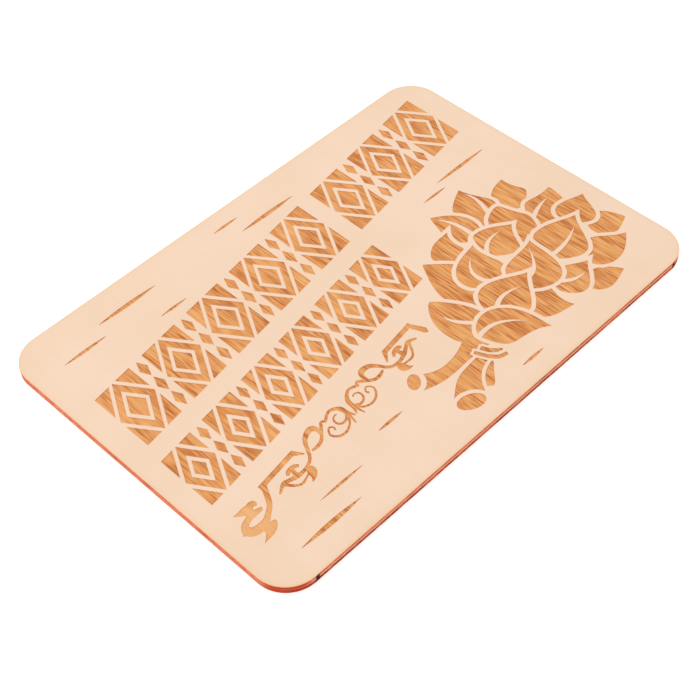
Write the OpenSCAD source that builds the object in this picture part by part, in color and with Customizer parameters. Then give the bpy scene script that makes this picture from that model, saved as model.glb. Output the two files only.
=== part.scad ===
// Wall plaque of three-ply plywood with a laser-engraved face.
// The plaque lies on its back: +Z comes out of the face, +Y is up when it hangs and +X is to the right.
// The origin is the middle of the back face. All sizes are in millimetres.

/* [Plaque] */
// Long side of the plaque
plaque_w = 160; // [120:1:240]
// Short side of the plaque
plaque_h = 110; // [90:1:165]
// Radius of the four corners
corner_r = 10; // [4:0.5:20]

/* [Plies] */
// Thickness of the engraved face veneer
face_t = 0.9; // [0.7:0.1:1.5]
// Thickness of the cross-grain core veneer
core_t = 0.8; // [0.6:0.1:2.4]
// Thickness of the back veneer
back_t = 0.9; // [0.7:0.1:1.5]
// Thickness of each glue line between two veneers
glue_t = 0.1; // [0.05:0.05:0.15]

/* [Engraving] */
// Depth that the laser burns into the face veneer
engrave_depth = 0.2; // [0.1:0.05:0.5]
// Diameter of the laser's spot, below which a detail of the artwork drops out
laser_spot = 0.3; // [0.1:0.05:0.4]
// Angle that the two friezes and the scroll climb at
climb_angle = 8.7; // [0:0.1:12]

/* [Leaf bunch] */
// Width of the plain line left between neighbouring leaves
leaf_gap = 1.3; // [0.8:0.1:1.6]
// Width of a leaf's plain vein where it is widest
vein_w = 1.5; // [0.8:0.1:1.8]

/* [Hidden] */

// The artwork is drawn for a plaque of this size and is scaled to fit another one.
drawn_w = 160;
drawn_h = 110;
art_scale = min(plaque_w / drawn_w, plaque_h / drawn_h);

// Heights of the layers, from the wall outwards
back_z = 0;
rear_glue_z = back_z + back_t;
core_z = rear_glue_z + glue_t;
front_glue_z = core_z + core_t;
face_z = front_glue_z + glue_t;
floor_z = face_z + face_t - engrave_depth;
cut_clear = 1; // how far the engraving cut runs past the face

birch = "antiquewhite";
cross_birch = "burlywood";
glue_brown = "saddlebrown";

curve_steps = 12; // pieces that a leaf's side, a vein or half a dash is drawn with
climb = tan(climb_angle);
scroll_x = -28.55; // middle of the scroll

// ---- Points and curves ----

function unit(v) = v / norm(v);
function left_of(v) = [-v[1], v[0]];
function bezier(a, b, c, t) = (1 - t) * (1 - t) * a + 2 * t * (1 - t) * b + t * t * c;
function bezier_way(a, b, c, t) = unit(2 * (1 - t) * (b - a) + 2 * t * (c - b));

// A point on a Catmull-Rom span from b to c, with neighbours a and d. It works on widths too.
function spline(a, b, c, d, t) =
    0.5 * (2 * b + (c - a) * t + (2 * a - 5 * b + 4 * c - d) * t * t + (3 * b - a - 3 * c + d) * t * t * t);

function at(list, i) = list[max(0, min(len(list) - 1, i))];

function spline_through(list, steps) = [
    for (i = [0 : len(list) - 2], s = [0 : steps - 1])
        spline(at(list, i - 1), at(list, i), at(list, i + 1), at(list, i + 2), s / steps),
    at(list, len(list) - 1)
];

// The outline of a line that is w wide, where w is a list with one width for each point
function outline(line, w) =
    let (
        last = len(line) - 1,
        side = [for (i = [0 : last]) left_of(unit(at(line, i + 1) - at(line, i - 1))) * w[i] / 2]
    )
    concat([for (i = [0 : last]) line[i] + side[i]], [for (i = [last : -1 : 0]) line[i] - side[i]]);

// A brush stroke through a few points, each given as [x, y, width]
module stroke(marks, steps = 4) {
    smooth = spline_through(marks, steps);
    polygon(outline([for (m = smooth) [m[0], m[1]]], [for (m = smooth) m[2]]));
}

// A spiral stroke that winds in from radius r_out to r_in, thinning on its way
module volute(centre, r_out, r_in, from, turn, w_out, w_in) {
    steps = ceil(abs(turn) / 18);
    way = [for (i = [0 : steps]) i / steps];
    line = [for (t = way) centre + (r_out + (r_in - r_out) * t) * [cos(from + turn * t), sin(from + turn * t)]];
    polygon(outline(line, [for (t = way) w_out + (w_in - w_out) * t]));
}

// ---- Birch-bark dashes ----

// Each dash is [x, y, length, thickness].
dashes = [
    [-63, 41, 13, 1.0], [-44.4, 45.6, 19, 1.3], [-36.2, 35.4, 8, 0.8], [-4.8, 48.6, 8, 0.9],
    [7, 43.2, 18.6, 1.3], [60, 15.4, 18.6, 1.1], [45.5, 12.5, 8, 0.8], [-24.2, -35.9, 8, 0.9],
    [-46.6, -40.4, 12.6, 0.8], [-56.6, -47, 19.2, 1.4], [17.4, -48.7, 7.6, 0.9]
];
dash_tip = 0.2; // thickness of a dash at its two ends

// A spindle that is fat in the middle and runs out to two long points
module dash(length, thickness) {
    way = [for (i = [-curve_steps : curve_steps]) i / curve_steps];
    line = [for (t = way) [t * length / 2, 0]];
    polygon(outline(line, [for (t = way) dash_tip + (thickness - dash_tip) * pow(cos(t * 90), 0.9)]));
}

module bark_dashes() {
    for (d = dashes) translate([d[0], d[1]]) dash(d[2], d[3]);
}

// ---- Friezes: two climbing rows of rhombs and triangles ----

ring_gap = 1.3; // plain line between the rings of a block
ring_w = 2.3; // engraved ring of a block
links = 3; // rhombs in each chain between two blocks
link_gap = 0.7; // plain line between the rhombs of a chain

module rhomb(w, h) {
    polygon([[-w / 2, 0], [0, h / 2], [w / 2, 0], [0, -h / 2]]);
}

// Rhombs inside each other, with a triangle in each corner of the block
module rhomb_block(w, h) {
    slope = h / w;
    corner_w = w / 2 - ring_gap;
    difference() {
        rhomb(w, h);
        rhomb(w - 2 * ring_w, h - 2 * ring_w * slope);
    }
    rhomb(w - 2 * (ring_w + ring_gap), h - 2 * (ring_w + ring_gap) * slope);
    for (x = [-1, 1], y = [-1, 1]) scale([x, y]) translate([w / 2, h / 2])
        polygon([[0, 0], [-corner_w, 0], [0, -corner_w * slope]]);
}

// Small rhombs, one over the other, between two blocks
module rhomb_chain(w, h) {
    link_h = h / links;
    for (i = [0 : links - 1]) translate([0, (i - (links - 1) / 2) * link_h]) rhomb(w, link_h - link_gap);
}

// A run of blocks with a chain between each two of them, that starts at x and stands on y = 0
module block_run(x, count, w, h, chain_w, gap) {
    pitch = w + chain_w + 2 * gap;
    for (i = [0 : count - 1]) translate([x + w / 2 + i * pitch, h / 2]) {
        rhomb_block(w, h);
        if (i < count - 1) translate([pitch / 2, 0]) rhomb_chain(chain_w, h);
    }
}

module climbing(y) {
    multmatrix([[1, 0, 0, 0], [climb, 1, 0, y], [0, 0, 1, 0], [0, 0, 0, 1]]) children();
}

module upper_frieze() {
    climbing(15.1) {
        block_run(-72.2, 5, 13.3, 21.6, 2.9, 1.15);
        block_run(20.9, 3, 13.3, 21.6, 2.9, 1.15);
    }
}

module lower_frieze() {
    climbing(-10.6) block_run(-73.4, 6, 11.3, 19.5, 2.7, 1.05);
}

// ---- Scroll under the friezes ----

// The wound part of the scroll, to the right of its middle: a big volute, and a small one that hangs from it
module wound_part() {
    big = [4.0, 0.1];
    volute(big, 2.3, 1.2, 205, 268, 0.8, 0.4);
    stroke([[0.3, -3.0, 0.3], [1.1, -0.8, 0.9], [1.7, 1.7, 1.2], [4.2, 3.5, 0.8], [7.4, 2.2, 0.9]]);
    stroke([[2.0, -4.6, 0.3], [1.5, -1.9, 0.9], [1.5, 0.6, 1.2], [2.2, 2.2, 0.9]]);
    stroke([[1.8, -1.2, 0.9], [3.1, -3.2, 0.6], [5.6, -4.3, 0.7], [8.1, -3.6, 0.7], [9.4, -1.5, 0.6],
            [8.2, 0.2, 0.5], [7.1, -0.6, 0.5], [7.4, -1.6, 0.6]]);
}

// A bud on a short stalk, with a cap that hooks down at one side
module bud() {
    stroke([[24.3, -2.4, 2.0], [24.0, -1.0, 1.2], [23.9, 0.2, 1.5]]);
    stroke([[25.8, -0.3, 0.8], [24.8, 0.4, 1.3], [22.9, 0.3, 1.2], [21.7, -0.6, 0.8]]);
}

// An S-shaped tendril that starts in a loop and ends in a sprig with a bud and a leaf
module tendril() {
    stroke([[7.0, 2.1, 0.5], [8.1, 3.0, 0.8], [9.2, 2.1, 0.9], [10.6, 0.7, 0.9], [12.3, -0.6, 1.0],
            [14.2, -0.9, 1.0], [16.1, -0.6, 0.7]]);
    stroke([[10.7, 0.8, 1.0], [10.6, 2.8, 1.3], [11.8, 4.0, 1.8], [14.1, 3.6, 1.5], [15.7, 2.2, 1.2],
            [18.2, -1.6, 0.9], [21.4, -2.7, 1.0], [24.4, -2.3, 1.3], [26.6, -1.4, 1.1], [28.4, -0.9, 1.2],
            [31.0, -2.1, 0.5]]);
    stroke([[28.2, -1.4, 0.9], [26.4, -3.9, 0.7], [24.8, -4.8, 0.7], [22.8, -4.5, 0.6], [21.2, -4.1, 0.5]]);
    bud();
    leaf([[20.6, -2.5], [23.0, -6.7], 1.3, -0.22, []]);
}

// The bar over a tendril, with a tick at its inner end
module bracket() {
    polygon([[18.0, 0.5], [19.8, 3.9], [32.2, 3.9], [31.6, 2.4], [20.6, 2.4], [18.4, 0.4]]);
}

// One half of the scroll, whose tendril may be turned and pressed together a little
module scroll_half(turn = 0, squeeze = 1) {
    wound_part();
    rotate(turn) scale([squeeze, 1]) tendril();
    bracket();
}

// The foot that the right-hand bracket ends in
module bracket_foot() {
    polygon([[30.6, 3.2], [31.8, 3.9], [34.2, -1.2], [33.7, -2.6], [32.8, -2.2]]);
}

// The hooked stem that the left-hand bracket runs out into, with a curled lobe over it and a leaf under it
module scroll_end() {
    polygon([[-31.6, 3.9], [-33.3, 3.9], [-33.4, 2.0], [-31.9, 1.6], [-31.2, 2.4]]);
    stroke([[-32.4, 3.0, 1.4], [-32.7, 1.8, 1.6], [-33.7, 0.0, 1.6], [-35.1, -2.0, 1.5], [-37.1, -3.3, 1.6],
            [-39.3, -4.3, 2.2], [-42.3, -4.0, 2.6], [-44.4, -2.4, 2.0], [-43.4, -0.8, 2.0], [-41.4, -0.3, 1.7],
            [-39.2, -0.4, 1.7], [-36.9, -1.0, 1.0]]);
    leaf([[-42.6, -2.7], [-46.0, -2.3], 1.2, 0, []]);
    stroke([[-40.2, -0.2, 2.8], [-39.9, 1.1, 2.6], [-38.8, 1.9, 2.1], [-37.6, 1.7, 1.7], [-37.3, 0.7, 0.6]]);
    leaf([[-38.2, 1.6], [-43.7, 3.4], 1.2, 0.06, []]);
    stroke([[-39.8, -4.2, 3.2], [-39.9, -5.6, 3.0], [-39.9, -6.6, 2.0]]);
    leaf([[-37.0, -5.8], [-43.6, -8.0], 1.3, 0.02, []]);
}

module scroll() {
    climbing(-20.5) translate([scroll_x, 0]) {
        scale([-1, 1]) scroll_half();
        scroll_half(1.7, 0.955);
        bracket_foot();
        scroll_end();
    }
}

// ---- Leaf bunch ----

// Leaves from the front one to the back one: [base, tip, half width, bend, vein, fullness].
// bend moves the middle of the midline to the left by that share of the length, seen from the base.
// vein is the start of a plain vein, the point that it bends towards and its end.
// fullness is 0 for a leaf that narrows evenly to its tip, and up to 1 for one that stays wide. It may be left out.
leaves = [
    [[13.2, -33], [29.2, -45.4], 6.6, 0.12, [[12.8, -33.6], [20.6, -31.2], [26.6, -39.9]]],
    [[21.4, -31.4], [40, -27.6], 7.7, 0.02, [[24.4, -30], [28.5, -26.8], [35.2, -30.1]]],
    [[36.4, -32.8], [50, -20], 8.0, -0.03, [[38.6, -28.8], [43.3, -29.7], [47.9, -21]]],
    [[49.4, -29.8], [66.8, -23], 8.1, 0.03, [[49, -28.3], [57.1, -29], [63.4, -25.4]]],
    [[30, -23.8], [37.6, -9.4], 7.2, 0.10, [[30.6, -22.6], [26.4, -16.3], [34.2, -11.8]]],
    [[38.4, -16.4], [51.6, -12], 7.2, 0.08, [[37.8, -14.8], [41.2, -10], [47.6, -11.5]]],
    [[16.6, -36.8], [13.1, -15.3], 6.3, 0.065, [[16.4, -29.8], [11.4, -25], [11.7, -21.2]], 1],
    [[25.6, -27], [22.3, -4.2], 7.6, 0.0, [], 0.5],
    [[33.4, -30.6], [39.6, -44.8], 6.6, -0.14, []],
    [[40.8, -38.8], [55, -37], 5.7, 0.0, [[43.6, -36.2], [46.4, -39.8], [51.4, -39.3]]],
    [[53.4, -20.6], [54.5, -4.2], 6.5, 0.17, [], 1],
    [[55, -34.2], [71, -38.1], 5.6, -0.10, [], 0.3],
    [[63.8, -24.6], [75.2, -19], 6.0, 0.02, []],
    [[56.4, -15.8], [70.6, -9.9], 6.3, -0.13, [[57.4, -15], [62.6, -12.4], [67.2, -12.5]], 0.5],
    [[65.4, -29.4], [75.9, -33.9], 5.1, 0.02, [], 0.6],
    [[47, -43.2], [59.2, -46.4], 4.0, 0.04, [], 0.6],
    [[29.4, -11.8], [36.4, -0.6], 5.0, 0.16, []],
    [[40.4, -9], [37.5, 6.8], 5.1, -0.05, [[40.9, -6], [41.4, 1.2], [38, 5.2]], 0.6],
    [[48.6, -7.4], [51.8, 8.6], 6.9, 0.08, [[50.4, -4.2], [53.6, 2.4], [51.7, 6.6]], 0.3],
    [[60, -9.4], [63.8, 2.4], 5.6, 0.14, [], 0.4]
];

function fullness(l) = len(l) > 5 ? l[5] : 0;

// How wide a leaf is at t along its midline, as a share of its half width: round at the base, drawn out at the tip
function leaf_width(t, full) =
    pow(sin(180 * pow(t, 0.68 + 0.12 * full)), 1 - 0.4 * full)
    * (1 - 0.3 * (1 - full) * pow(t, 3)) * (1 - 0.25 * pow(t, 8));

function leaf_middle(l) = (l[0] + l[1]) / 2 + left_of(l[1] - l[0]) * 2 * l[3];

// A point on a leaf's left side (side = 1) or right side (side = -1)
function leaf_edge(l, t, side) = bezier(l[0], leaf_middle(l), l[1], t)
    + left_of(bezier_way(l[0], leaf_middle(l), l[1], t)) * l[2] * leaf_width(t, fullness(l)) * side;

module leaf(l) {
    // steps are closer together near the round base and the drawn-out tip
    way = [for (i = [0 : curve_steps]) (1 - cos(180 * i / curve_steps)) / 2];
    polygon(concat(
        [for (t = way) leaf_edge(l, t, 1)],
        [for (i = [curve_steps - 1 : -1 : 1]) leaf_edge(l, way[i], -1)]
    ));
}

// A curved sliver that starts in the gap round the leaf and runs out to a point
module vein(l) {
    way = [for (i = [0 : curve_steps]) i / curve_steps];
    if (len(l[4]) > 0) polygon(outline(
        [for (t = way) bezier(l[4][0], l[4][1], l[4][2], t)],
        [for (t = way) vein_w * (1 - pow(t, 1.8))]
    ));
}

// The leaf with a plain line round it, which is what it hides of the leaves behind it
module leaf_and_gap(l) {
    offset(delta = leaf_gap) leaf(l);
}

module leaf_heap() {
    for (i = [0 : len(leaves) - 1]) difference() {
        leaf(leaves[i]);
        vein(leaves[i]);
        if (i > 0) for (j = [0 : i - 1]) leaf_and_gap(leaves[j]);
    }
}

// ---- Twigs that hold the leaves, and their tie ----

// The sawn end of a twig
module sawn_end(centre, angle, half_length, half_width) {
    translate(centre) rotate(angle) scale([half_length, half_width]) circle(r = 1, $fn = 26);
}

// It grows into the leftmost leaf without a gap.
module upper_twig() {
    difference() {
        stroke([[13.4, -33.4, 8.4], [9.0, -34.2, 5.6], [4.4, -35.0, 4.0], [-1.0, -35.4, 3.6], [-5.2, -34.8, 4.2],
                [-9.4, -33.0, 5.4], [-12.6, -30.8, 5.8]]);
        sawn_end([-10.6, -31.5], 48, 4.1, 3.4);
        leaf_and_gap(leaves[0]);
    }
    sawn_end([-10.6, -31.5], 48, 2.7, 1.8);
}

module lower_twig() {
    difference() {
        stroke([[8.6, -39.2, 2.6], [4.2, -40.0, 3.9], [-0.6, -42.2, 6.6], [-5.0, -46.6, 9.0]]);
        sawn_end([-5.2, -46.9], -22, 5.3, 3.8);
    }
    sawn_end([-5.2, -46.9], -22, 4.1, 2.5);
}

module short_twig() {
    stroke([[9.4, -40.8, 1.6], [6.2, -42.7, 2.9], [3.2, -45.8, 2.8], [2.2, -47.0, 1.8]]);
}

// Two wraps of string
module tie() {
    stroke([[7.9, -36.2, 1.0], [9.2, -39.4, 1.3], [11.2, -42.0, 1.3], [13.8, -42.8, 1.1]]);
    stroke([[10.2, -36.4, 1.4], [11.2, -38.6, 1.5], [12.6, -40.2, 1.2], [14.0, -40.9, 0.6]]);
}

module twigs() {
    difference() {
        union() {
            upper_twig();
            lower_twig();
            difference() {
                short_twig();
                offset(delta = leaf_gap * 0.8) lower_twig();
            }
        }
        offset(delta = leaf_gap * 0.6) tie();
    }
    difference() {
        tie();
        leaf_and_gap(leaves[0]);
    }
}

module leaf_bunch() {
    leaf_heap();
    twigs();
}

// ---- Engraving ----

// What the laser can draw of the artwork it is given: anything finer than its spot drops out
module as_lasered() {
    offset(delta = laser_spot / 2) offset(delta = -laser_spot / 2) children();
}

module engraved_pocket() {
    translate([0, 0, floor_z]) linear_extrude(engrave_depth + cut_clear) scale(art_scale) as_lasered() children();
}

// ---- Pieces ----

module plaque_outline() {
    square([plaque_w, plaque_h - 2 * corner_r], center = true);
    square([plaque_w - 2 * corner_r, plaque_h], center = true);
    for (x = [-1, 1], y = [-1, 1]) translate([x * (plaque_w / 2 - corner_r), y * (plaque_h / 2 - corner_r)])
        circle(r = corner_r, $fn = 96);
}

module layer(z, thickness) {
    translate([0, 0, z]) linear_extrude(thickness) plaque_outline();
}

module face_veneer() {
    color(birch) difference() {
        layer(face_z, face_t);
        engraved_pocket() bark_dashes();
        engraved_pocket() upper_frieze();
        engraved_pocket() lower_frieze();
        engraved_pocket() scroll();
        engraved_pocket() leaf_bunch();
    }
}

module front_glue_line() {
    color(glue_brown) layer(front_glue_z, glue_t);
}

module core_veneer() {
    color(cross_birch) layer(core_z, core_t);
}

module rear_glue_line() {
    color(glue_brown) layer(rear_glue_z, glue_t);
}

module back_veneer() {
    color(birch) layer(back_z, back_t);
}

face_veneer();
front_glue_line();
core_veneer();
rear_glue_line();
back_veneer();
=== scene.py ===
"""Looks of the engraved plywood plaque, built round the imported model.

The frame is in metres. The meshes are worked out in millimetres and scaled once, in Build.piece().
"""

import math

import bmesh
import bpy
import numpy as np
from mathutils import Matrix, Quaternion, Vector, geometry, kdtree, noise


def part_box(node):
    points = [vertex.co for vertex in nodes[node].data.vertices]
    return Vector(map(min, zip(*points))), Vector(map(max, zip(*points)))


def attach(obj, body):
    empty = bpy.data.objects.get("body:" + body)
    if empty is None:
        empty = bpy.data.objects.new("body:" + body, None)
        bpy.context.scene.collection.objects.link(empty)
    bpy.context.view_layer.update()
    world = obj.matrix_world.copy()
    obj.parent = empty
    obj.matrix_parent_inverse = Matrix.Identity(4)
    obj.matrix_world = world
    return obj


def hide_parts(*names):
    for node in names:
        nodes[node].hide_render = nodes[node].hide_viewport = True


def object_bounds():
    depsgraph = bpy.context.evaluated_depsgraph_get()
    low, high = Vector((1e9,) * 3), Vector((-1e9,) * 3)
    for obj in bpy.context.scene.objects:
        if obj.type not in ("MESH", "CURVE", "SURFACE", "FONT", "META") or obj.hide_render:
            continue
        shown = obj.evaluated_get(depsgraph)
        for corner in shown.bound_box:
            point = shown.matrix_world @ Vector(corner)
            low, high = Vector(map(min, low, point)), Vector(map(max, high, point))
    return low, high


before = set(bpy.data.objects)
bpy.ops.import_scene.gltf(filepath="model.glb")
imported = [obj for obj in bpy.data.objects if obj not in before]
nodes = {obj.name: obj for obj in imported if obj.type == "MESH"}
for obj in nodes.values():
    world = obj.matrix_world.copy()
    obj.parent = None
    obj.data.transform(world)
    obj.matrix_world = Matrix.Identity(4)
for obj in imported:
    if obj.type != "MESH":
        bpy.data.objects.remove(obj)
cad_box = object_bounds()

MM = 0.001
TINY = MM / 1000  # places closer than this are the same


def corner_radius(node):
    """Radius of a layer's corners, in mm: its long straight edge ends that far from the end of the layer."""
    _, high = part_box(node)
    on_edge = [v.co.x for v in nodes[node].data.vertices if v.co.y > high.y - TINY]
    return (high.x - max(on_edge)) / MM


HALF_W, HALF_H = cad_box[1][0] / MM, cad_box[1][1] / MM
CORNER_R = corner_radius("face_veneer")

# ---- Camera ----

# The angles are given in degrees, the lens and the sensor in mm, and the target and the distance in metres
VIEW_AZIMUTH, VIEW_ELEVATION, VIEW_ROLL = (math.radians(a) for a in (-43.117, 49.276, -3.081))
VIEW_TARGET = Vector((-0.01410, -0.01133, cad_box[1][2]))
VIEW_DISTANCE = 0.4018
VIEW_LENS = 77.02
SENSOR_W = 36


def make_camera():
    data = bpy.data.cameras.new("camera")
    data.lens = VIEW_LENS
    data.sensor_width = SENSOR_W
    camera = bpy.data.objects.new("camera", data)
    bpy.context.scene.collection.objects.link(camera)
    back = Vector((
        math.sin(VIEW_AZIMUTH) * math.cos(VIEW_ELEVATION),
        -math.cos(VIEW_AZIMUTH) * math.cos(VIEW_ELEVATION),
        math.sin(VIEW_ELEVATION),
    ))
    camera.location = VIEW_TARGET + back * VIEW_DISTANCE
    camera.rotation_mode = "QUATERNION"
    camera.rotation_quaternion = (-back).to_track_quat("-Z", "Y") @ Quaternion((0, 0, 1), VIEW_ROLL)
    bpy.context.scene.camera = camera


# ---- Outlines, in mm ----

RIM_STEP = 0.3  # spacing of the points round the plaque's edge
CURVE_STEP, STRAIGHT_STEP = 0.45, 1.1  # spacing of the points round an engraved shape
SHORTEST = 0.08  # points of an outline that are closer than this become one
SOFT_BEND = math.radians(30)  # an outline that bends less than this at a point is drawn as a curve there
STRAIGHT = 3.6  # a side longer than this is straight


def unit(v):
    return v / np.maximum(np.linalg.norm(v, axis=-1, keepdims=True), 1e-12)


def left_of(v):
    return np.stack([-v[..., 1], v[..., 0]], axis=-1)


def plaque_outline():
    """Points of the plaque's outline, counterclockwise, and the outward normal at each."""
    points, normals = [], []
    for turn in range(4):
        start = turn * math.pi / 2
        signs = ((1, 1), (-1, 1), (-1, -1), (1, -1))[turn]
        centre = np.array([signs[0] * (HALF_W - CORNER_R), signs[1] * (HALF_H - CORNER_R)])
        count = round(CORNER_R * math.pi / 2 / RIM_STEP)
        angles = start + np.arange(count) / count * math.pi / 2
        normal = np.stack([np.cos(angles), np.sin(angles)], axis=1)
        points.append(centre + normal * CORNER_R)
        normals.append(normal)
        # the straight side that the corner turns into
        end = start + math.pi / 2
        normal = np.array([math.cos(end), math.sin(end)])
        side = 2 * ((HALF_W, HALF_H)[turn % 2] - CORNER_R)
        count = round(side / RIM_STEP)
        way = (np.arange(count) / count * side)[:, None]
        points.append(centre + normal * CORNER_R + way * left_of(normal))
        normals.append(np.repeat(normal[None], count, axis=0))
    return np.concatenate(points), np.concatenate(normals)


def pocket_outlines(node):
    """The outlines of the engraved shapes at the top of a node, each with its pocket on the left."""
    mesh = bmesh.new()
    mesh.from_mesh(nodes[node].data)
    bmesh.ops.remove_doubles(mesh, verts=mesh.verts, dist=TINY / 10)
    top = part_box(node)[1].z

    def wall_of(edge):
        """The upright face under a top edge, or None if the edge isn't one."""
        if any(abs(v.co.z - top) > TINY for v in edge.verts) or len(edge.link_faces) != 2:
            return None
        flat, wall = sorted(edge.link_faces, key=lambda f: -f.normal.z)
        return wall if flat.normal.z > 0.9 and abs(wall.normal.z) < 0.1 else None

    neighbours, walls = {}, {}
    for edge in mesh.edges:
        wall = wall_of(edge)
        if wall:
            a, b = edge.verts
            neighbours.setdefault(a, []).append(b)
            neighbours.setdefault(b, []).append(a)
            walls[frozenset((a, b))] = wall.normal.copy()
    loops, seen = [], set()
    for first in neighbours:
        if first in seen:
            continue
        loop, last, here = [], None, first
        while here not in seen:
            seen.add(here)
            loop.append(here)
            onward = [v for v in neighbours[here] if v != last and v not in seen]
            last, here = here, onward[0] if onward else first
        points = np.array([v.co.xy for v in loop]) / MM
        into_pocket = walls[frozenset(loop[:2])]
        if left_of(points[1] - points[0]) @ np.array(into_pocket.xy) < 0:
            points = points[::-1]
        is_plaque = np.ptp(points[:, 0]) > 2 * HALF_W - 1
        if not is_plaque:
            loops.append(points)
    mesh.free()
    return loops


def drawn_out(loop):
    """A loop with its slight bends rounded, and points along its sides."""
    loop = loop[np.linalg.norm(loop - np.roll(loop, 1, axis=0), axis=1) > SHORTEST]
    side = np.roll(loop, -1, axis=0) - loop
    length = np.linalg.norm(side, axis=1)
    way = unit(side)
    before, before_length = np.roll(way, 1, axis=0), np.roll(length, 1)
    bend = np.arccos(np.clip((before * way).sum(axis=1), -1, 1))
    curved = (bend < SOFT_BEND) & (length < STRAIGHT) & (before_length < STRAIGHT)
    tangent = unit(before * length[:, None] + way * before_length[:, None])
    leave = np.where(curved[:, None], tangent, way)
    arrive = np.where(np.roll(curved, -1)[:, None], np.roll(tangent, -1, axis=0), way)
    found = []
    for i in range(len(loop)):
        bent = curved[i] or curved[(i + 1) % len(loop)]
        count = math.ceil(length[i] / (CURVE_STEP if bent else STRAIGHT_STEP))
        t = (np.arange(count) / count)[:, None]
        found.append(
            (2 * t**3 - 3 * t**2 + 1) * loop[i]
            + (t**3 - 2 * t**2 + t) * leave[i] * length[i]
            + (3 * t**2 - 2 * t**3) * loop[(i + 1) % len(loop)]
            + (t**3 - t**2) * arrive[i] * length[i]
        )
    return np.concatenate(found)


def side_normals(loop):
    """The direction to the left of a closed loop at each point."""
    way = unit(np.roll(loop, -1, axis=0) - loop)
    return unit(left_of(way) + left_of(np.roll(way, 1, axis=0)))


# ---- Regions, in mm ----


def pocket_grid(loops, step_x, step_y):
    """Points of a grid that lie in the pockets, and those that lie outside them, row by row."""
    starts = np.concatenate(loops)
    ends = np.concatenate([np.roll(loop, -1, axis=0) for loop in loops])
    xs = np.arange(-HALF_W + step_x, HALF_W, step_x)
    inside, outside = [], []
    for y in np.arange(-HALF_H + step_y, HALF_H, step_y):
        cut = (starts[:, 1] <= y) != (ends[:, 1] <= y)
        a, b = starts[cut], ends[cut]
        crossings = np.sort(a[:, 0] + (y - a[:, 1]) / (b[:, 1] - a[:, 1]) * (b[:, 0] - a[:, 0]))
        odd = np.searchsorted(crossings, xs) % 2 == 1
        for group, mask in ((inside, odd), (outside, ~odd)):
            group.append(np.stack([xs[mask], np.full(mask.sum(), y)], axis=1))
    return np.concatenate(inside), np.concatenate(outside)


class Distance:
    """How far a point is from a set of points."""

    def __init__(self, points):
        self.tree = kdtree.KDTree(len(points))
        for i, (x, y) in enumerate(points):
            self.tree.insert((x, y, 0), i)
        self.tree.balance()

    def to(self, points):
        return np.array([self.tree.find((x, y, 0))[2] for x, y in points])


def from_edge(points):
    """How far points are inside the plaque's outline, or CORNER_R for those that are farther in."""
    beyond = np.maximum(np.abs(points) - [HALF_W - CORNER_R, HALF_H - CORNER_R], 0)
    return CORNER_R - np.linalg.norm(beyond, axis=1)


def untangled(points, moved, triangles):
    """The moved points, with those put back that turn a triangle over."""
    while True:
        corners = moved[triangles]
        a, b = corners[:, 1] - corners[:, 0], corners[:, 2] - corners[:, 0]
        over = np.unique(triangles[a[:, 0] * b[:, 1] - a[:, 1] * b[:, 0] < 1e-6])
        if np.array_equal(moved[over], points[over]):
            return moved
        moved[over] = points[over]


def thinned(points, gap):
    """The points, at most one to each square of a grid."""
    _, kept = np.unique(np.round(points / gap), axis=0, return_index=True)
    return points[np.sort(kept)]


def signed_area(loop):
    """The area inside a loop, negative if it runs clockwise."""
    return (loop[:, 0] * np.roll(loop[:, 1], -1) - np.roll(loop[:, 0], -1) * loop[:, 1]).sum() / 2


def triangulate(loops, loose):
    """All the points, the triangles inside the first loop, and for each the number of loops that it is in."""
    points = np.concatenate([*loops, loose])
    faces, start = [], 0
    for loop in loops:
        numbers = list(range(start, start + len(loop)))
        faces.append(numbers if signed_area(loop) > 0 else numbers[::-1])
        start += len(loop)
    flat = [Vector(p) for p in points]
    _, _, triangles, sources, _, within = geometry.delaunay_2d_cdt(flat, [], faces, 0, 1e-6, True)
    name = [s[0] if s else -1 for s in sources]
    kept = [(tuple(name[v] for v in t), len(w)) for t, w in zip(triangles, within) if len(w) > 0]
    kept = [(t, depth) for t, depth in kept if min(t) >= 0 and len(set(t)) == 3]
    return points, np.array([t for t, _ in kept]), np.array([depth for _, depth in kept])


# ---- Meshes ----

SHARP = math.radians(40)  # faces that meet at more than this have a hard edge between them


class Build:
    """Collects the points and faces of one piece.

    burn says how much of its material's own tint a point takes, from 0 to 1: the scorch on the back, the
    warmth along the rim of the face, and painted light on a pocket's wall and at its foot: a paler tint that
    lifts the shade there.
    """

    def __init__(self):
        self.points, self.burns, self.faces, self.slots = [], [], [], []

    def add_points(self, xy, z, burn):
        """Adds points, and returns their numbers."""
        first = len(self.points)
        columns = np.column_stack([xy, np.broadcast_to(z, len(xy))])
        self.points.extend(columns)
        self.burns.extend(np.broadcast_to(burn, len(xy)))
        return np.arange(first, first + len(xy))

    def add_faces(self, faces, slot):
        self.faces.extend(tuple(int(v) for v in f) for f in faces)
        self.slots.extend([slot] * len(faces))

    def add_band(self, right, left, slot):
        """A closed band of quads between two rings of points, seen from outside with the ring right below."""
        after_right, after_left = np.roll(right, -1), np.roll(left, -1)
        self.add_faces(np.stack([right, after_right, after_left, left], axis=1), slot)

    def piece(self, name, materials):
        mesh = bpy.data.meshes.new(name)
        mesh.from_pydata([tuple(p) for p in np.array(self.points) * MM], [], self.faces)
        mesh.polygons.foreach_set("material_index", self.slots)
        mesh.polygons.foreach_set("use_smooth", [True] * len(self.faces))
        burn = mesh.attributes.new("burn", "FLOAT", "POINT")
        burn.data.foreach_set("value", np.array(self.burns, np.float32))
        for material in materials:
            mesh.materials.append(material)
        mesh.validate()
        mesh.update()
        mesh.set_sharp_from_angle(angle=SHARP)
        made = bpy.data.objects.new(name, mesh)
        bpy.context.scene.collection.objects.link(made)
        return made


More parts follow.
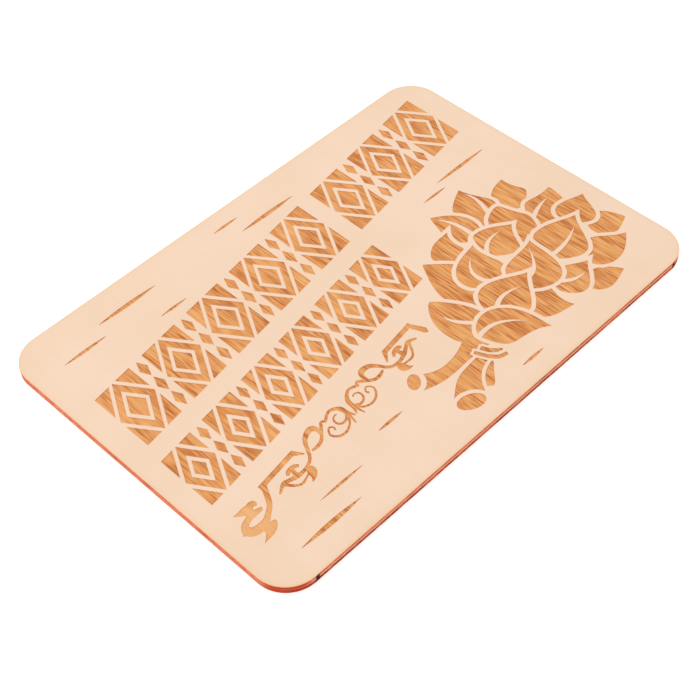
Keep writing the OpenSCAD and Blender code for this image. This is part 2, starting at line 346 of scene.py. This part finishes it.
OUTLINE, OUTWARD = plaque_outline()
STRIA_DEPTH = 0.025  # the deepest of the lines that the laser leaves across the edge
STRIAE = np.random.default_rng(7).random(len(OUTLINE)) ** 2 * STRIA_DEPTH

# The profile of a layer's edge, from its lower side up: the share of its thickness, and how far it is
# drawn in, in mm, on top of the lines that the laser leaves
PLAIN_EDGE = ((0.0, 0.03), (0.06, 0.0), (0.3, 0.0), (0.55, 0.0), (0.8, 0.0), (0.94, 0.0), (1.0, 0.03))
TOP_EDGE = ((0.0, 0.03), (0.06, 0.0), (0.25, 0.0), (0.45, 0.0), (0.65, 0.0), (0.84, 0.0), (0.93, 0.01),
            (0.98, 0.015), (1.0, 0.045))
BACK_EDGE = tuple((1 - share, inset) for share, inset in reversed(TOP_EDGE))
GLUE_EDGE = ((0.0, 0.05), (0.5, 0.08), (1.0, 0.05))


def add_edge(build, low, high, profile, slot):
    """The edge all round a layer. Returns its lowest and its highest ring."""
    rings = []
    for share, inset in profile:
        xy = OUTLINE - OUTWARD * (inset + STRIAE)[:, None]
        rings.append(build.add_points(xy, low + (high - low) * share, 1.0))
    for lower, upper in zip(rings, rings[1:]):
        build.add_band(lower, upper, slot)
    return rings[0], rings[-1]


def add_flat(build, ring, z, loose, burns, slot, up):
    """A flat face inside a ring, through loose points."""
    outline = np.array([build.points[i][:2] for i in ring])
    _, triangles, _ = triangulate([outline], loose)
    numbers = np.concatenate([ring, build.add_points(loose, z, burns)])
    triangles = numbers[triangles]
    build.add_faces(triangles if up else triangles[:, ::-1], slot)


def rings_inside(insets):
    """Rings of points at these distances inside the plaque's outline, with every second of its points."""
    return np.concatenate([(OUTLINE - OUTWARD * inset)[::2] for inset in insets])


def open_grid(step, margin):
    """A grid of points in the plaque, at least margin from its outline."""
    xs, ys = np.arange(-HALF_W, HALF_W, step), np.arange(-HALF_H, HALF_H, step)
    grid = np.stack(np.meshgrid(xs, ys), axis=-1).reshape(-1, 2) + step / 2
    return grid[from_edge(grid) > margin]


HIDDEN_STEP = 6.0  # grid of a face that another layer covers


def hidden_grid():
    return open_grid(HIDDEN_STEP, HIDDEN_STEP / 2)


def heights(node):
    """The heights of a layer's two sides, in mm."""
    low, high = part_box(node)
    return low.z / MM, high.z / MM


def plain_layer(name, node, profile, materials):
    """A layer that shows only its edge."""
    build = Build()
    low, high = heights(node)
    lowest, highest = add_edge(build, low, high, profile, 0)
    add_flat(build, lowest, low, hidden_grid(), 0.0, 0, up=False)
    add_flat(build, highest, high, hidden_grid(), 0.0, 0, up=True)
    return build.piece(name, materials)


SCORCH_RINGS = (0.3, 0.7, 1.2, 2.0, 3.2, 5.0)  # distances from the edge of the points that carry a scorch
SCORCH_FADE = 1.3  # how far the scorch on the back reaches before it has faded to a third
FACE_STEP = 3.0  # grid of a plain stretch of the face or the back


def back_layer(name, node, materials):
    """The back veneer, with the scorch that the cut leaves round its back face."""
    build = Build()
    low, high = heights(node)
    lowest, highest = add_edge(build, low, high, BACK_EDGE, 1)
    loose = np.concatenate([rings_inside(SCORCH_RINGS), open_grid(FACE_STEP, SCORCH_RINGS[-1] + 1)])
    add_flat(build, lowest, low, loose, np.exp(-from_edge(loose) / SCORCH_FADE), 0, up=False)
    add_flat(build, highest, high, hidden_grid(), 0.0, 1, up=True)
    return build.piece(name, materials)


# ---- Engraved face ----

RIDGE_W, RIDGE_L = 0.45, 4.5  # width and length of the ridges that the grain leaves in the engraved floor
RIDGE_H = 0.03  # height of those ridges
FINE_W, FINE_L = 2.3, 1.6  # how many times narrower and shorter the finer ridges among them are
WIDE_PART, FINE_PART = 0.7, 0.3  # their parts in the height
GRID_X, GRID_Y = 0.33, 1.1  # grid of the engraved floor, finer across the grain than along it
WALL_LEAN = 0.04  # how far a pocket's wall leans in from top to bottom
FLOOR_RING = 0.22  # distance from a pocket's wall of the floor's outermost points
RING_NEAREST = 0.93  # the least of that distance that is kept where walls are close together
RING_GAP = 0.15  # spacing of those points
RING_PLAY = 0.015  # how far those points are off their ring, so that no three of them lie on a line
GRID_GAP = 1.8 * FLOOR_RING  # least distance of the floor's grid from a pocket's wall
FACE_GAP = 1.2  # least distance of the face's grid from a pocket
RIM_RINGS = (0.35, 0.8, 1.6, 2.6)  # distances from the edge of the face's points that carry the warm tint
LIP = 0.02  # how far a pocket's rim is rounded outwards
LIP_DROP = 0.04  # and how far down
FOOT_FADE = 0.12  # how far the painted light at the foot of a pocket's wall reaches, a paler tint that lifts the shade there
HEAT_FADE = 0.6  # how far the warm tint along the plaque's edge reaches


def engraved_z(node):
    """Height of the engraved floor, in mm: the highest level of points but for the top."""
    levels = {round(v.co.z / MM, 3) for v in nodes[node].data.vertices}
    return sorted(levels)[-2]


def ridge(x, y):
    """Height of the engraved floor's grain at a point, from -1 to 1."""
    wide = noise.noise(Vector((x / RIDGE_W, y / RIDGE_L, 3.0)))
    fine = noise.noise(Vector((x / RIDGE_W * FINE_W, y / RIDGE_L * FINE_L, 9.0)))
    return WIDE_PART * wide + FINE_PART * fine


def face_layer(name, node, materials):
    """The face veneer, with a pocket for every engraved shape."""
    build = Build()
    low, high = heights(node)
    floor = engraved_z(node)
    lowest, highest = add_edge(build, low, high, TOP_EDGE, 2)
    add_flat(build, lowest, low, hidden_grid(), 0.0, 2, up=False)

    outline = np.array([build.points[i][:2] for i in highest])
    loops = [drawn_out(loop) for loop in pocket_outlines(node)]
    normals = [side_normals(loop) for loop in loops]
    samples, sides = np.concatenate(loops), np.concatenate(normals)
    away = Distance(samples)

    ring = samples + sides * FLOOR_RING
    ring = thinned(ring[away.to(ring) > RING_NEAREST * FLOOR_RING], RING_GAP)
    ring = ring + np.random.default_rng(5).uniform(-RING_PLAY, RING_PLAY, ring.shape)
    in_pockets, _ = pocket_grid(loops, GRID_X, GRID_Y)
    in_pockets = in_pockets[away.to(in_pockets) > GRID_GAP]
    _, on_face = pocket_grid(loops, FACE_STEP, FACE_STEP)
    on_face = on_face[(away.to(on_face) > FACE_GAP) & (from_edge(on_face) > FACE_STEP)]
    loose = np.concatenate([ring, in_pockets, on_face, rings_inside(RIM_RINGS)])

    points, triangles, depth = triangulate([outline, *loops], loose)
    in_pocket = depth % 2 == 0
    on_loop = np.zeros(len(points), bool)
    on_loop[len(outline): len(outline) + len(samples)] = True

    def add_part(triangles, shift, surface, burn, slot):
        """Adds the triangles with the engraved outlines shifted into the pockets.

        surface and burn work out the height and the tint value at places: the warm tint by the plaque's edge
        on the face, and painted light near the walls on the floor. Returns the number of each point.
        """
        moved = points.copy()
        moved[on_loop] = samples + sides * shift
        moved = untangled(points, moved, triangles)
        used = np.unique(triangles)
        used = used[used >= len(outline)]
        numbers = np.full(len(points), -1)
        numbers[: len(outline)] = highest
        numbers[used] = build.add_points(moved[used], surface(moved[used]), burn(moved[used]))
        build.add_faces(numbers[triangles], slot)
        return numbers

    def floor_height(at):
        return np.array([floor + ridge(x, y) * RIDGE_H for x, y in at])

    top_ids = add_part(triangles[~in_pocket], -LIP, lambda at: high,
                       lambda at: np.exp(-from_edge(at) / HEAT_FADE), 0)
    # on the floor the value is painted light: a paler tint near the walls that lifts the shade at their foot
    floor_ids = add_part(triangles[in_pocket], WALL_LEAN, floor_height,
                         lambda at: np.exp(-away.to(at) / FOOT_FADE), 1)

    start = len(outline)
    for loop in loops:
        ids = np.arange(start, start + len(loop))
        start += len(loop)
        # the walls take the full paler tint, painted light over the shade in the pockets
        lip = build.add_points(loop, high - LIP_DROP, 1.0)
        build.add_band(lip, floor_ids[ids], 1)
        build.add_band(top_ids[ids], lip, 1)
    return build.piece(name, materials)


# ---- Materials ----

FACE_SHINE = 0.25  # specular level of wood
CHAR_SHINE = 0.05  # and of the cut edge, which is duller


def srgb(red, green, blue):
    """A colour given as it looks on a screen, from 0 to 255, as Blender's linear colour."""
    def linear(c):
        c /= 255
        return c / 12.92 if c <= 0.04045 else ((c + 0.055) / 1.055) ** 2.4
    return (linear(red), linear(green), linear(blue), 1.0)


class Shader:
    """A material, with short ways to add its nodes. Places are in millimetres in the plaque's frame."""

    def __init__(self, name):
        self.material = bpy.data.materials.new(name)
        self.material.use_nodes = True
        self.tree = self.material.node_tree
        self.surface = self.tree.nodes["Principled BSDF"]
        self.surface.inputs["Specular IOR Level"].default_value = FACE_SHINE
        coordinates = self.tree.nodes.new("ShaderNodeTexCoord")
        self.place = self.vector("SCALE", coordinates.outputs["Object"], scale=1 / MM)

    def put(self, value, socket):
        if isinstance(value, bpy.types.NodeSocket):
            self.tree.links.new(value, socket)
        else:
            socket.default_value = value

    def vector(self, operation, a, b=None, scale=None):
        node = self.tree.nodes.new("ShaderNodeVectorMath")
        node.operation = operation
        self.put(a, node.inputs[0])
        if b is not None:
            self.put(b, node.inputs[1])
        if scale is not None:
            node.inputs["Scale"].default_value = scale
        return node.outputs["Vector"]

    def math(self, operation, a, b=0.0):
        node = self.tree.nodes.new("ShaderNodeMath")
        node.operation = operation
        self.put(a, node.inputs[0])
        self.put(b, node.inputs[1])
        return node.outputs["Value"]

    def noise(self, size, seed=0.0, detail=2.0, roughness=0.5):
        """Noise from 0 to 1 whose spots are size = (x, y, z) across, in mm. A seed shifts the pattern."""
        moved = self.vector("ADD", self.place, (seed * 17.0, seed * 29.0, seed * 7.0))
        scaled = self.vector("DIVIDE", moved, size)
        node = self.tree.nodes.new("ShaderNodeTexNoise")
        node.inputs["Scale"].default_value = 1.0
        node.inputs["Detail"].default_value = detail
        node.inputs["Roughness"].default_value = roughness
        self.put(scaled, node.inputs["Vector"])
        return node.outputs["Fac"]

    def step(self, value, low, high):
        """0 at low and beyond it, 1 at high and beyond it, and a smooth slope between."""
        node = self.tree.nodes.new("ShaderNodeMapRange")
        node.interpolation_type = "SMOOTHSTEP"
        self.put(value, node.inputs["Value"])
        self.put(low, node.inputs["From Min"])
        self.put(high, node.inputs["From Max"])
        return node.outputs["Result"]

    def mix(self, share, a, b):
        node = self.tree.nodes.new("ShaderNodeMix")
        node.data_type = "RGBA"
        self.put(share, node.inputs[0])
        self.put(a, node.inputs[6])
        self.put(b, node.inputs[7])
        return node.outputs[2]

    def tint(self, colour, tint, share, strength):
        """A colour with a tint laid over it. share says where, from 0 to 1, and strength how much at most."""
        return self.mix(self.math("MULTIPLY", share, strength), colour, tint)

    def total(self, *terms):
        """The sum of values, each given with its weight."""
        weighted = [self.math("MULTIPLY", value, weight) for value, weight in terms]
        found = weighted[0]
        for value in weighted[1:]:
            found = self.math("ADD", found, value)
        return found

    def near(self, spot, reach):
        """1 at a spot (x, y) in the plaque's plane, down to 0 at reach from it."""
        flat = self.vector("MULTIPLY", self.place, (1, 1, 0))
        node = self.tree.nodes.new("ShaderNodeVectorMath")
        node.operation = "DISTANCE"
        self.put(flat, node.inputs[0])
        node.inputs[1].default_value = (*spot, 0)
        return self.step(node.outputs["Value"], reach, 0.0)

    def attribute(self, name):
        node = self.tree.nodes.new("ShaderNodeAttribute")
        node.attribute_name = name
        return node.outputs["Fac"]

    def finish(self, colour, roughness, height, depth):
        """Sets the surface. height is from 0 to 1, and depth is what it stands for, in mm."""
        bump = self.tree.nodes.new("ShaderNodeBump")
        bump.inputs["Distance"].default_value = depth * MM
        self.put(height, bump.inputs["Height"])
        self.put(colour, self.surface.inputs["Base Color"])
        self.put(roughness, self.surface.inputs["Roughness"])
        self.put(bump.outputs["Normal"], self.surface.inputs["Normal"])
        return self.material


def birch(name, light, dark, warm, heat):
    """Sanded birch: faint bands and pores along the grain, and soft mottling.

    heat is how strongly the tint called warm shows where heat reached the wood.
    """
    s = Shader(name)
    mottle = s.noise((38.0, 30.0, 10.0), seed=1, detail=3)
    bands = s.noise((5.0, 90.0, 1.0), seed=2, detail=3)
    lines = s.noise((0.5, 14.0, 1.0), seed=3, detail=3, roughness=0.6)
    pores = s.noise((0.16, 1.7, 1.0), seed=4, detail=1)
    colour = s.mix(s.total((s.step(mottle, 0.3, 0.7), 0.55), (bands, 0.45)), light, dark)
    colour = s.tint(colour, warm, s.step(lines, 0.5, 0.8), strength=0.16)
    colour = s.tint(colour, warm, s.step(pores, 0.66, 0.78), strength=0.16)
    colour = s.tint(colour, warm, s.attribute("burn"), strength=heat)
    roughness = s.math("ADD", 0.52, s.math("MULTIPLY", lines, 0.12))
    height = s.math("SUBTRACT", lines, s.math("MULTIPLY", s.step(pores, 0.62, 0.75), 0.7))
    return s.finish(colour, roughness, height, depth=0.012)


FAINT_SPOT = (-72.0, -33.0)  # where the engraving is paler, at the end of the scroll
FAINT_REACH = 11.0  # how far that goes


def engraved(name):
    """The engraved floor: wood browned by the laser, with light and dark streaks along the grain."""
    s = Shader(name)
    brown, browner = srgb(236, 165, 100), srgb(228, 154, 88)
    light_streak, dark_streak, fleck = srgb(243, 190, 126), srgb(186, 98, 44), srgb(168, 86, 44)
    # wall is painted light: the paler colour of the pocket walls and their foot, which lifts the shade in the
    # pockets
    pale, wall = srgb(244, 188, 128), srgb(240, 178, 116)
    mottle = s.noise((9.0, 14.0, 5.0), seed=5, detail=3)
    clusters = s.noise((2.2, 16.0, 2.0), seed=6, detail=2)
    lines = s.noise((0.28, 8.0, 2.0), seed=7, detail=1)
    flecks = s.noise((0.24, 3.4, 2.0), seed=8, detail=0)
    grain = s.total((clusters, 0.3), (lines, 0.7))
    dark, light = s.step(grain, 0.51, 0.62), s.step(grain, 0.47, 0.36)
    colour = s.mix(s.step(mottle, 0.3, 0.7), brown, browner)
    colour = s.tint(colour, light_streak, light, strength=0.75)
    colour = s.tint(colour, dark_streak, dark, strength=0.85)
    in_cluster = s.math("MULTIPLY", s.step(flecks, 0.56, 0.68), s.step(clusters, 0.42, 0.6))
    colour = s.tint(colour, fleck, in_cluster, strength=0.45)
    colour = s.tint(colour, pale, s.step(s.near(FAINT_SPOT, FAINT_REACH), 0.0, 0.5), strength=0.75)
    # painted light: the walls and the floor at their foot made paler against the shade
    colour = s.tint(colour, wall, s.attribute("burn"), strength=0.35)
    height = s.total((lines, 0.8), (dark, -0.6))
    return s.finish(colour, roughness=0.8, height=height, depth=0.05)


BURNT_SPOTS = ((-69.4, -HALF_H), (71.0, -HALF_H))  # where the laser dwelt at the ends of a corner
BURNT_REACH = 1.2  # how far it burnt the edge there
CLEAN_EDGE = 0.3  # how much of the face veneer's edge the char leaves clean, at the top


def cut_edge(name, light, dark, char_share, end_along_x, clean_above=None):
    """A laser-cut veneer edge: browned, lined across, and charred more where the grain ends at the cut.

    The grain ends at the plaque's two ends if end_along_x, or else at its long sides. clean_above is the
    height, in mm, above which the edge keeps the colour of the wood.
    """
    s = Shader(name)
    s.surface.inputs["Specular IOR Level"].default_value = CHAR_SHINE
    # salmon is the colour of the painted highlights on the edge
    salmon, clean = srgb(246, 184, 160), srgb(246, 196, 150)
    corner, burnt = srgb(190, 54, 12), srgb(70, 16, 10)
    where = s.tree.nodes.new("ShaderNodeSeparateXYZ")
    s.put(s.place, where.inputs[0])
    to_end = s.math("SUBTRACT", HALF_W, s.math("ABSOLUTE", where.outputs["X"]))
    to_side = s.math("SUBTRACT", HALF_H, s.math("ABSOLUTE", where.outputs["Y"]))
    in_corner = s.step(s.math("ADD", to_end, to_side), CORNER_R, CORNER_R * 0.65)
    on_end = s.step(to_end, CORNER_R * 0.5, CORNER_R * 0.05)
    char = on_end if end_along_x else s.math("SUBTRACT", 1.0, on_end)
    lines = s.noise((0.35, 0.35, 30.0), seed=10, detail=2, roughness=0.65)
    patches = s.noise((3.2, 3.2, 0.6), seed=11, detail=3)
    wander = s.noise((26.0, 26.0, 1.4), seed=12, detail=2)
    amount = s.total((char, char_share), (wander, 0.7), (patches, 0.8), (lines, 0.3))
    colour = s.mix(s.step(amount, 0.88, 1.46), light, dark)
    # painted highlights: pinkish patches that stand in for glints of light on the edge
    painted_highlights = s.noise((1.8, 1.8, 0.5), seed=14, detail=1)
    colour = s.tint(colour, salmon, s.step(painted_highlights, 0.58, 0.7), strength=0.5)
    colour = s.tint(colour, corner, in_corner, strength=0.8)
    for spot in BURNT_SPOTS:
        colour = s.mix(s.step(s.near(spot, BURNT_REACH), 0.05, 0.85), colour, burnt)
    if clean_above is not None:
        ragged = s.math("ADD", where.outputs["Z"], s.math("MULTIPLY", s.math("SUBTRACT", lines, 0.5), 0.3))
        colour = s.mix(s.step(ragged, clean_above - 0.1, clean_above + 0.16), colour, clean)
    return s.finish(colour, roughness=0.62, height=lines, depth=0.04)


def glue(name):
    """Dark resin that the laser has baked."""
    s = Shader(name)
    grain = s.noise((0.5, 0.5, 0.2), seed=13)
    colour = s.mix(grain, srgb(96, 44, 32), srgb(140, 66, 46))
    return s.finish(colour, roughness=0.5, height=grain, depth=0.02)


# ---- Floor and light ----

FLOOR_SIZE = 16  # in metres, so that no edge of it shows
FLOOR_DROP = 0.1 * MM  # gap under the plaque
FLOOR_GLOW, SKY = 0.42, 0.685  # strengths that leave the floor plain white


def make_floor():
    bpy.ops.mesh.primitive_plane_add(size=FLOOR_SIZE, location=(0, 0, cad_box[0][2] - FLOOR_DROP))
    floor = bpy.context.object
    floor.name = "floor"
    material = bpy.data.materials.new("floor_paper")
    material.use_nodes = True
    surface = material.node_tree.nodes["Principled BSDF"]
    surface.inputs["Base Color"].default_value = (0.98, 0.98, 0.98, 1)
    surface.inputs["Roughness"].default_value = 1.0
    surface.inputs["Specular IOR Level"].default_value = 0.0
    surface.inputs["Emission Color"].default_value = (1, 1, 1, 1)
    surface.inputs["Emission Strength"].default_value = FLOOR_GLOW
    floor.data.materials.append(material)


def make_light(name, place, size, power):
    """A square lamp that faces the middle of the plaque."""
    data = bpy.data.lights.new(name, "AREA")
    data.size = size
    data.energy = power
    lamp = bpy.data.objects.new(name, data)
    lamp.location = place
    lamp.rotation_mode = "QUATERNION"
    lamp.rotation_quaternion = (-Vector(place)).to_track_quat("-Z", "Y")
    bpy.context.scene.collection.objects.link(lamp)


def make_world():
    world = bpy.data.worlds.new("studio")
    world.use_nodes = True
    background = world.node_tree.nodes["Background"]
    background.inputs["Color"].default_value = (1, 1, 1, 1)
    background.inputs["Strength"].default_value = SKY
    bpy.context.scene.world = world


# ---- Scene ----

make_camera()

pale, tan, warm = srgb(250, 220, 196), srgb(244, 212, 182), srgb(240, 196, 140)
edge_light, edge_dark = srgb(230, 122, 84), srgb(126, 42, 30)
face_edge = cut_edge("face_edge", edge_light, edge_dark, 0.25, end_along_x=False,
                     clean_above=cad_box[1][2] / MM - CLEAN_EDGE)
face = face_layer("engraved_face_veneer", "face_veneer", [
    birch("face_birch", pale, tan, warm, 0.4),
    engraved("engraved_birch"),
    face_edge,
])
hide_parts("face_veneer")

core = plain_layer("cross_grain_core", "core_veneer", PLAIN_EDGE, [
    cut_edge("core_edge", srgb(238, 146, 108), srgb(172, 78, 52), 0.2, end_along_x=True),
])
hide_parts("core_veneer")

back = back_layer("scorched_back_veneer", "back_veneer", [
    birch("back_birch", srgb(240, 208, 172), srgb(232, 197, 157), srgb(150, 88, 46), 0.75),
    cut_edge("back_edge", edge_light, edge_dark, 0.4, end_along_x=False),
])
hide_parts("back_veneer")

resin = glue("resin")
for node in ("front_glue_line", "rear_glue_line"):
    line = plain_layer(node.replace("line", "film"), node, GLUE_EDGE, [resin])
    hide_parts(node)
    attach(line, "root")
for piece in (face, core, back):
    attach(piece, "root")

make_floor()
make_world()
make_light("key", (-0.35, 0.45, 0.9), size=0.8, power=3.5)
make_light("fill", (0.5, -0.3, 0.8), size=0.8, power=1.3)
bpy.context.scene.view_settings.view_transform = "Standard"
